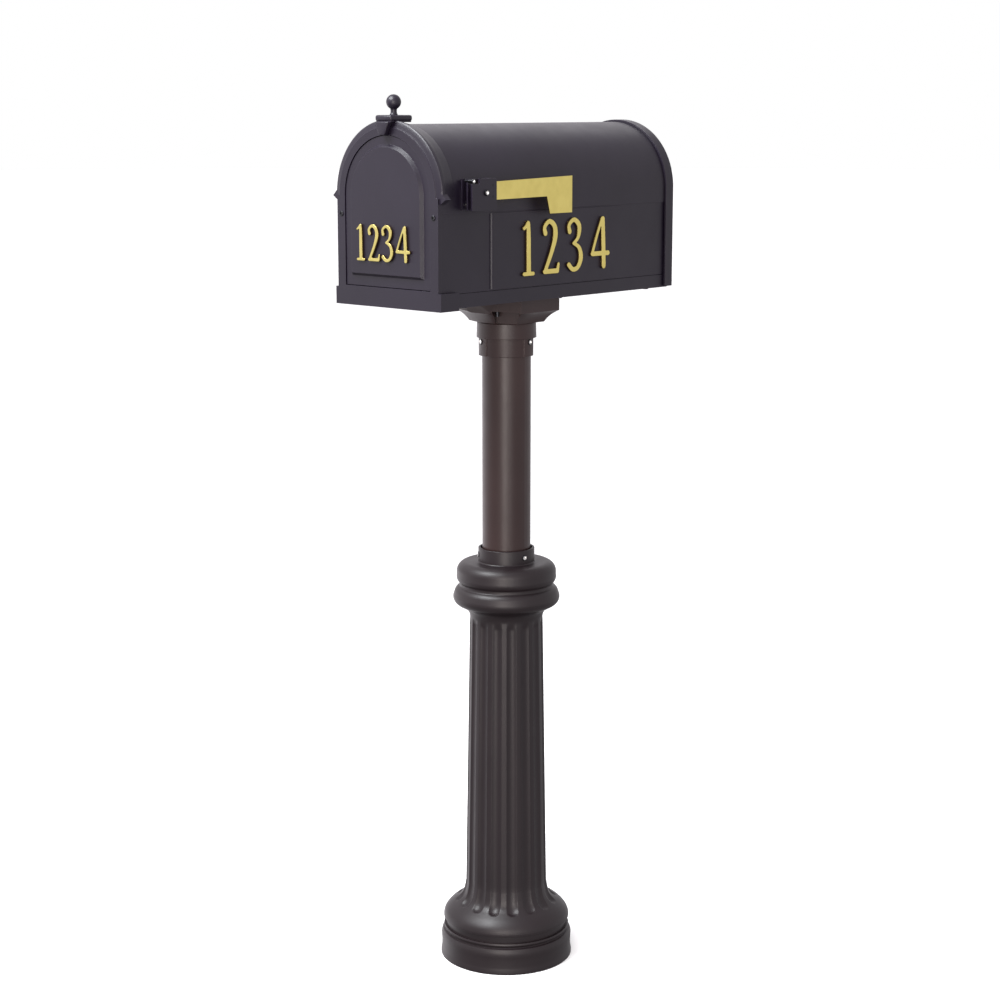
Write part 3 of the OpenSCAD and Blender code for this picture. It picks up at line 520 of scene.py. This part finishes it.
def smooth_curve(points, steps):
    """A smooth curve through points, with so many steps between neighbours."""

    def blend(p, q, r, w, t):
        linear, square, cube = r - p, 2 * p - 5 * q + 4 * r - w, 3 * q - p - 3 * r + w
        return 0.5 * (2 * q + linear * t + square * t * t + cube * t ** 3)

    made = []
    for i in range(len(points) - 1):
        a, b = points[max(i - 1, 0)], points[i]
        c, d = points[i + 1], points[min(i + 2, len(points) - 1)]
        for k in range(steps):
            made.append(tuple(blend(p, q, r, w, k / steps) for p, q, r, w in zip(a, b, c, d)))
    return made + [points[-1]]


def flute_angles(count, half_width):
    """Angles round the column, closer together at the flute edges, as (angle, offset from flute axis)."""
    pitch = 360 / count
    side = [part * half_width for part in (0, 0.3, 0.55, 0.75, 0.88, 0.95, 1, 1.05, 1.14)]
    rest = [side[-1] + (pitch / 2 - side[-1]) * k / 2 for k in (1, 2)]
    offsets = [-o for o in reversed(side + rest[:1])][:-1] + side + rest
    return [(k * pitch + o, o) for k in range(count) for o in offsets]


# Flutes of the column cover, in mm and degrees; a flute's half width is an angle with a limit in mm
FLUTE_COUNT = 16
FLUTE_PHASE = 5.25
FLUTE_HALF_ANGLE = 7.3
FLUTE_HALF_WIDTH = 9.2
FLUTE_DEPTH = 3.0
FLUTE_TOP_Z = 568.0
FLUTE_RUN_OUT = 15.0
FLUTE_FOOT_R = 83.5
# How softly a flute's wall meets the shaft
FLUTE_SOFT = 0.004
SHAFT_FOOT, SHAFT_HEAD = (65.2, 122.0), (58.0, 560.0)


def cover_profile():
    """The cover's section in (radius, height): the outside upwards, and the inside back down."""
    outer = rounded([(93.5, 62, 0), (101.7, 62, 0.8), (101.7, 66, 0.6), (101.3, 67.5, 0)], 4)
    outer += smooth_curve([
        (101.7, 66), (101.3, 68), (99.4, 73), (95.6, 78.2), (89.8, 83.8), (83, 88.8), (76.9, 93.2),
        (72, 98.2), (68.8, 104.5), (66.9, 112), SHAFT_FOOT
    ], 7)[7:]
    shaft = along(SHAFT_FOOT, SHAFT_HEAD, np.linspace(0.02, 0.9, 14))
    shaft += along(SHAFT_FOOT, SHAFT_HEAD, np.linspace(0.92, 0.995, 22))
    neck = arc((77, 563), 19.2, 180, 110, 14)
    low = arc((70.5, 597), 14, -74, 10, 16) + arc((69.6, 602), 13.2, 12, 66, 12)
    notch = [(74.4, 615.2), (74.0, 617.0), (74.3, 618.8)]
    high = arc((66, 629.5), 13, -50, 12, 12) + arc((62.8, 637.5), 16, 8, 84, 16)
    ring = rounded([
        (62.8, 653.5, 0), (45.6, 653.2, 1.0), (44.5, 654.5, 1.0), (44.5, 676, 1.2), (41, 676, 0)
    ], 4)
    inner = [
        (41, 648), (62, 640), (62, 598), (51.5, 585), (51.5, 560), (58, 120), (61, 100), (78, 82), (93.5, 68)
    ]
    outside = outer + shaft + neck + low + notch + high + ring
    return np.array(outside + inner), len(outside)


def make_column_cover():
    """The fluted cover: a turned profile whose shaft carries scooped flutes with rounded ends."""
    profile, outside = cover_profile()
    length = np.concatenate([[0], np.cumsum(np.linalg.norm(np.diff(profile, axis=0), axis=1))])
    tangent = np.gradient(profile, axis=0)
    tangent /= np.linalg.norm(tangent, axis=1)[:, None]
    normal = np.stack([tangent[:, 1], -tangent[:, 0]], 1)
    foot = next(i for i, p in enumerate(profile) if p[1] > 80 and p[0] < FLUTE_FOOT_R)
    head = max(i for i, p in enumerate(profile[:outside]) if p[1] < FLUTE_TOP_Z)
    start, stop = length[foot], length[head]

    def drop(i, r, offset):
        """Depth of the flutes at a point of the section, offset degrees from a flute's axis."""
        if i >= outside or not start - 1 < length[i] < stop + 1:
            return 0.0
        across = math.radians(abs(offset)) * r
        half = min(math.radians(FLUTE_HALF_ANGLE) * r, FLUTE_HALF_WIDTH)
        past = max(start + half - length[i], 0)
        x = 1 - (across * across + past * past) / (half * half)
        if x <= -0.5:
            return 0.0
        deep = FLUTE_DEPTH * 0.5 * (x + math.sqrt(x * x + FLUTE_SOFT))
        return deep * smoothstep(clamp((stop - length[i]) / FLUTE_RUN_OUT))

    rings = []
    for i, (r, z) in enumerate(profile):
        ring = []
        for angle, offset in flute_angles(FLUTE_COUNT, FLUTE_HALF_ANGLE):
            deep = drop(i, r, offset)
            ring.append((r - deep * normal[i][0], math.radians(angle + FLUTE_PHASE), z - deep * normal[i][1]))
        rings.append(ring)
    mesh = turned_grid("fluted_column_cover", rings, 50)
    new_piece("fluted_column_cover", mesh, "cast_coat", "body", ["column_cover"])


# ---------------------------------------------------------------- bracket, pull, ball and screws


# Three ears round the sleeve of the bracket, in degrees: first ear, half width, width of their flanks
EAR_PHASE = 8
EAR_HALF = 17
EAR_FADE = 1.6
SLEEVE_RADIUS = 41.7
EAR_RADIUS = 43.7


def sleeve_section(radius):
    """Section of the sleeve in (radius, height), with the given outer radius below the collar."""
    return rounded([
        (38.3, 981, 0), (radius, 981, 0.9), (radius, 1008.4, 0.3), (46.6, 1008.6, 1.0),
        (45.8, 1032.8, 1.4), (38.3, 1033.8, 0)
    ], 5)


def make_bracket_sleeve():
    """Sleeve with three screw ears under the collar of the top bracket."""
    edge = EAR_HALF + EAR_FADE / 2 - np.linspace(0, EAR_FADE, 5)
    offsets = np.unique(np.concatenate([np.arange(-60, 60, 2.5), edge, -edge]))
    rings = []
    for (r0, z0), (r1, z1) in zip(sleeve_section(SLEEVE_RADIUS), sleeve_section(EAR_RADIUS)):
        ring = []
        for third in range(3):
            for offset in offsets:
                x = smoothstep(clamp((EAR_HALF + EAR_FADE / 2 - abs(offset)) / EAR_FADE))
                turn = math.radians(EAR_PHASE + 120 * third + offset)
                ring.append((r0 + (r1 - r0) * x, turn, z0 + (z1 - z0) * x))
        rings.append(ring)
    mesh = turned_grid("bracket_sleeve", rings, 45)
    new_piece("bracket_sleeve", mesh, "cast_coat", "body", ["top_bracket"], "bracket_coat")


def welded(source):
    """A bmesh of a CAD mesh with its doubled points joined."""
    bm = bmesh.new()
    bm.from_mesh(source)
    bmesh.ops.remove_doubles(bm, verts=bm.verts, dist=WELD_DISTANCE)
    return bm


def plain_copy(source):
    """A copy of a CAD mesh without its materials."""
    mesh = source.copy()
    mesh.materials.clear()
    return mesh


def bare(bm, mesh):
    """Writes a bmesh into a mesh, frees it, and drops the normals that came from the CAD."""
    bm.to_mesh(mesh)
    bm.free()
    if "custom_normal" in mesh.attributes:
        mesh.attributes.remove(mesh.attributes["custom_normal"])


# Height of the cut between the sleeve of the bracket, which is rebuilt, and its flared head
FLARE_Z = 1033.5


def bracket_flare(node):
    """The flared head of the bracket: the CAD casting above its collar, closed at the cut."""
    bm = welded(node.data)
    cut = bmesh.ops.bisect_plane(
        bm, geom=bm.verts[:] + bm.edges[:] + bm.faces[:],
        plane_co=(0, 0, FLARE_Z * MM), plane_no=(0, 0, 1), clear_inner=True
    )
    open_edges = [e for e in cut["geom_cut"] if isinstance(e, bmesh.types.BMEdge)]
    bmesh.ops.holes_fill(bm, edges=open_edges)
    mesh = bpy.data.meshes.new("bracket_flare")
    bm.to_mesh(mesh)
    bm.free()
    return mesh


def make_door_pull():
    """Keystone, neck, tongue and bull-nosed cap of the pull, in one casting."""
    bm = bmesh.new()
    prism(bm, [(-6, 1319.5), (6, 1319.5), (14, 1338.6), (-14, 1338.6)], -266, -257.5, 1.6)
    prism(bm, [(-4.6, 1319.5), (4.6, 1319.5), (11.4, 1338.3), (-11.4, 1338.3)], -258.5, -247.8, 0.3)
    prism(bm, [(-4.6, 1315), (4.6, 1315), (4.6, 1320.5), (-4.6, 1320.5)], -250.5, -247.8, 0.2)
    prism(bm, [(-9, 1300), (9, 1300), (9, 1316), (-9, 1316)], -250.5, -247.8, 0.5)
    prism(bm, [(-15.1, 1337.8), (15.1, 1337.8), (15.1, 1342), (-15.1, 1342)], -261.3, -219.8, 0.8)
    prism(bm, [(-16.5, 1339.4), (16.5, 1339.4), (16.5, 1348), (-16.5, 1348)], -262.7, -218.4, 3.0)
    mesh = finish_mesh("door_pull_casting", bm, 60)
    new_piece("door_pull_casting", mesh, "cast_coat", "door", ["door_pull"], "box_coat")


def make_ball_finial():
    """The ball on its turned stem, with a small foot and a fillet under the ball."""
    bm = bmesh.new()
    profile = [
        (0, 1347.8), (5.9, 1347.8), (5.9, 1348.7), (5.1, 1349.9), (4.6, 1351.6), (4.5, 1353.6), (4.7, 1355.4)
    ]
    profile += arc((0, 1366.5), 10.8, -61, 88, 30) + [(0, 1377.3)]
    lathe(bm, profile, Matrix.Translation((0, -240.5 * MM, 0)), 64)
    mesh = finish_mesh("turned_ball_finial", bm, 50)
    new_piece("turned_ball_finial", mesh, "cast_coat", "door", ["ball_finial"], "box_coat")


# The row of a screw's profile from which its bright core starts
SOCKET_ROW = 7


def socket_screws(name, node, slot, body, places, radius, height, length, shank, bright=True):
    """Round-headed screws with a hex socket; a bright core shows in a dark rim."""
    socket = 0.42 * radius
    profile = [
        (0, -length), (shank, -length), (shank, 0), (radius, 0), (radius, 0.5 * height),
        (0.96 * radius, 0.8 * height), (0.86 * radius, height), (0.68 * radius, height),
        (0.64 * radius, 0.93 * height), (1.25 * socket, 0.93 * height), (socket, 0.93 * height, "hex"),
        (socket, 0.3 * height, "hex"), (0, 0.3 * height)
    ]
    bm = bmesh.new()
    for place in places:
        lathe(bm, profile, place, 36, SOCKET_ROW if bright else None)
    mesh = finish_mesh(name, bm, 35)
    new_piece(name, mesh, slot, body, [node], "dark_screw" if bright else slot)
    if bright:
        mesh.materials.append(MATERIALS[slot])


def axis_place(x, y, z, direction):
    """A matrix whose Z axis looks along direction from a point given in mm."""
    turn = Vector(direction).to_track_quat("Z", "Y").to_matrix().to_4x4()
    return Matrix.Translation(Vector((x, y, z)) * MM) @ turn


def ring_places(count, phase, radius, z):
    """Places round the post, looking outwards."""
    made = []
    for k in range(count):
        turn = math.radians(phase + 360 * k / count)
        c, s = math.cos(turn), math.sin(turn)
        made.append(axis_place(radius * c, radius * s, z, (c, s, 0)))
    return made


def make_screws():
    """All of the screws, bolts and pins that show, on their CAD places."""
    socket_screws("ear_set_screws", "bracket_screws", "bright_steel", "body",
                  ring_places(3, 8, 43.7, 1003), 4.6, 1.2, 5.5, 3.8)
    socket_screws("collar_set_screws", "column_screws", "bright_steel", "body",
                  ring_places(3, -8, 44.5, 665), 4.6, 1.2, 6.3, 3.8)
    socket_screws("stile_screws", "frame_screws", "dark_screw", "body",
                  [axis_place(x, -257, 1205, (0, -1, 0)) for x in (-94.5, 94.5)], 3.8, 1.4, 17, 2.4, False)
    socket_screws("cap_screws", "rear_screws", "dark_screw", "body",
                  [axis_place(x, 278, z, (0, 1, 0)) for x in (-84, 84) for z in (1100, 1225)],
                  4.5, 1.8, 14, 2.5, False)
    socket_screws("pivot_bolt", "flag_pivot_bolt", "bright_steel", "body",
                  [axis_place(125.5, -180, 1239, (1, 0, 0))], 4.4, 2.4, 19, 3.0)
    socket_screws("stop_pin", "flag_stop_pin", "bright_steel", "body",
                  [axis_place(125.2, -207, 1256, (1, 0, 0))], 3.6, 1.5, 14, 2.5)


# ---------------------------------------------------------------- castings and sheets

# Rounding of the edges of each casting and sheet, in millimetres
EDGE_ROUND = {
    "front_frame": 0.9,
    "roof_shell": 0.5,
    "rear_cap": 2.0,
    "side_panel_left": 0.9,
    "side_panel_right": 0.9,
    "floor_pan": 0.6,
    "door_panel": 1.0,
    "base_flange": 1.0,
    "flag_bracket": 0.5,
    "flag_plate": 0.6,
    "flag_blade": 0.4,
    "catch_bracket": 0.3,
    "catch_magnet": 0.4,
    "strike_plate": 0.3,
}
FLARE_ROUND = 1.0
# Edges sharper than this, in degrees, are rounded; faces flatter than this are one
ROUND_FROM = 32
FLAT_WITHIN = 0.3
# Nodes whose flat faces are cut into convex ones, because their outlines are too ragged to be filled whole
SPLIT_CONCAVE = ("front_frame",)
# Nodes that don't look like the slot they are filed under
LOOKS = {
    "front_frame": "box_coat",
    "top_bracket": "bracket_coat",
    "door_hinge_pins": "dark_screw",
    "floor_screws": "dark_screw",
}
REBUILT = (
    "column_cover", "door_pull", "ball_finial", "bracket_screws", "column_screws", "frame_screws",
    "rear_screws", "flag_pivot_bolt", "flag_stop_pin",
)
# Grid of the remeshed digits in millimetres, and how often they are smoothed
DIGIT_VOXEL = 0.45
DIGIT_SMOOTHING = 9


def refine(name, source, slot, body, radius, replaced):
    """A cast or pressed copy of a CAD mesh: welded, freed of coplanar splits, with rounded edges."""
    mesh = plain_copy(source)
    bm = welded(mesh)
    bmesh.ops.dissolve_limit(bm, angle_limit=math.radians(FLAT_WITHIN), verts=bm.verts, edges=bm.edges)
    if name in SPLIT_CONCAVE:
        bmesh.ops.connect_verts_concave(bm, faces=bm.faces)
    for face in bm.faces:
        face.smooth = True
    bare(bm, mesh)
    piece = new_piece(name + "_finished", mesh, slot, body, [replaced], LOOKS.get(replaced))
    bevel = piece.modifiers.new("bevel", "BEVEL")
    bevel.width = radius * MM
    bevel.segments = 3
    bevel.limit_method = "ANGLE"
    bevel.angle_limit = math.radians(ROUND_FROM)
    bevel.miter_outer = "MITER_ARC"
    bevel.use_clamp_overlap = True
    normals = piece.modifiers.new("normals", "WEIGHTED_NORMAL")
    normals.weight = 100
    normals.keep_sharp = False


def make_digit(name, node, body):
    """A cast digit: the CAD digit with softly rounded edges."""
    mesh = plain_copy(node.data)
    bare(welded(mesh), mesh)
    # the door digits take the darker copy of the brass, painted dim for the light on the door
    look = "brass_front_painted_dim" if name.startswith("door") else "brass"
    piece = new_piece(name + "_finished", mesh, "brass", body, [name], look)
    remesh = piece.modifiers.new("remesh", "REMESH")
    remesh.mode = "VOXEL"
    remesh.voxel_size = DIGIT_VOXEL * MM
    remesh.use_smooth_shade = True
    smooth = piece.modifiers.new("smooth", "SMOOTH")
    smooth.factor = 0.5
    smooth.iterations = DIGIT_SMOOTHING


def refine_nodes(nodes, bodies):
    """Refined copies of the castings, sheets and digits, and a material on every node that stays."""
    for name, node in nodes.items():
        slot = node.data.materials[0].name.split(".")[0]
        if "digit" in name:
            make_digit(name, node, bodies[name])
        elif name == "top_bracket":
            refine("bracket_flare", bracket_flare(node), "cast_coat", "body", FLARE_ROUND, name)
        elif name in EDGE_ROUND:
            refine(name, node.data, slot, bodies[name], EDGE_ROUND[name], name)
        elif name not in REBUILT:
            for material_slot in node.material_slots:
                material_slot.link = "OBJECT"
                material_slot.material = MATERIALS[LOOKS.get(name, slot)]


# ---------------------------------------------------------------- scene

make_camera()
make_studio()
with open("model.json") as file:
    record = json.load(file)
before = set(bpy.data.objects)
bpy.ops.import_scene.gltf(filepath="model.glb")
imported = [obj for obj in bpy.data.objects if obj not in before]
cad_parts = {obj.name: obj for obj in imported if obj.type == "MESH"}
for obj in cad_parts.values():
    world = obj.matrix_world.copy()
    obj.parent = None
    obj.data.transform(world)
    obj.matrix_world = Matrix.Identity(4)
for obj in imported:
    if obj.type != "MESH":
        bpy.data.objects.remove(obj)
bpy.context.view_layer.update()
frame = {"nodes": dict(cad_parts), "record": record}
MATERIALS = make_materials()
BODY_OF = {node: body for body, names in frame["record"]["behaviour"]["bodies"].items() for node in names}
refine_nodes(frame["nodes"], BODY_OF)
make_column_cover()
make_bracket_sleeve()
make_door_pull()
make_ball_finial()
make_screws()

scene = bpy.context.scene
scene.view_settings.view_transform = "Standard"
scene.view_settings.look = "None"
scene.view_settings.exposure = 0.0
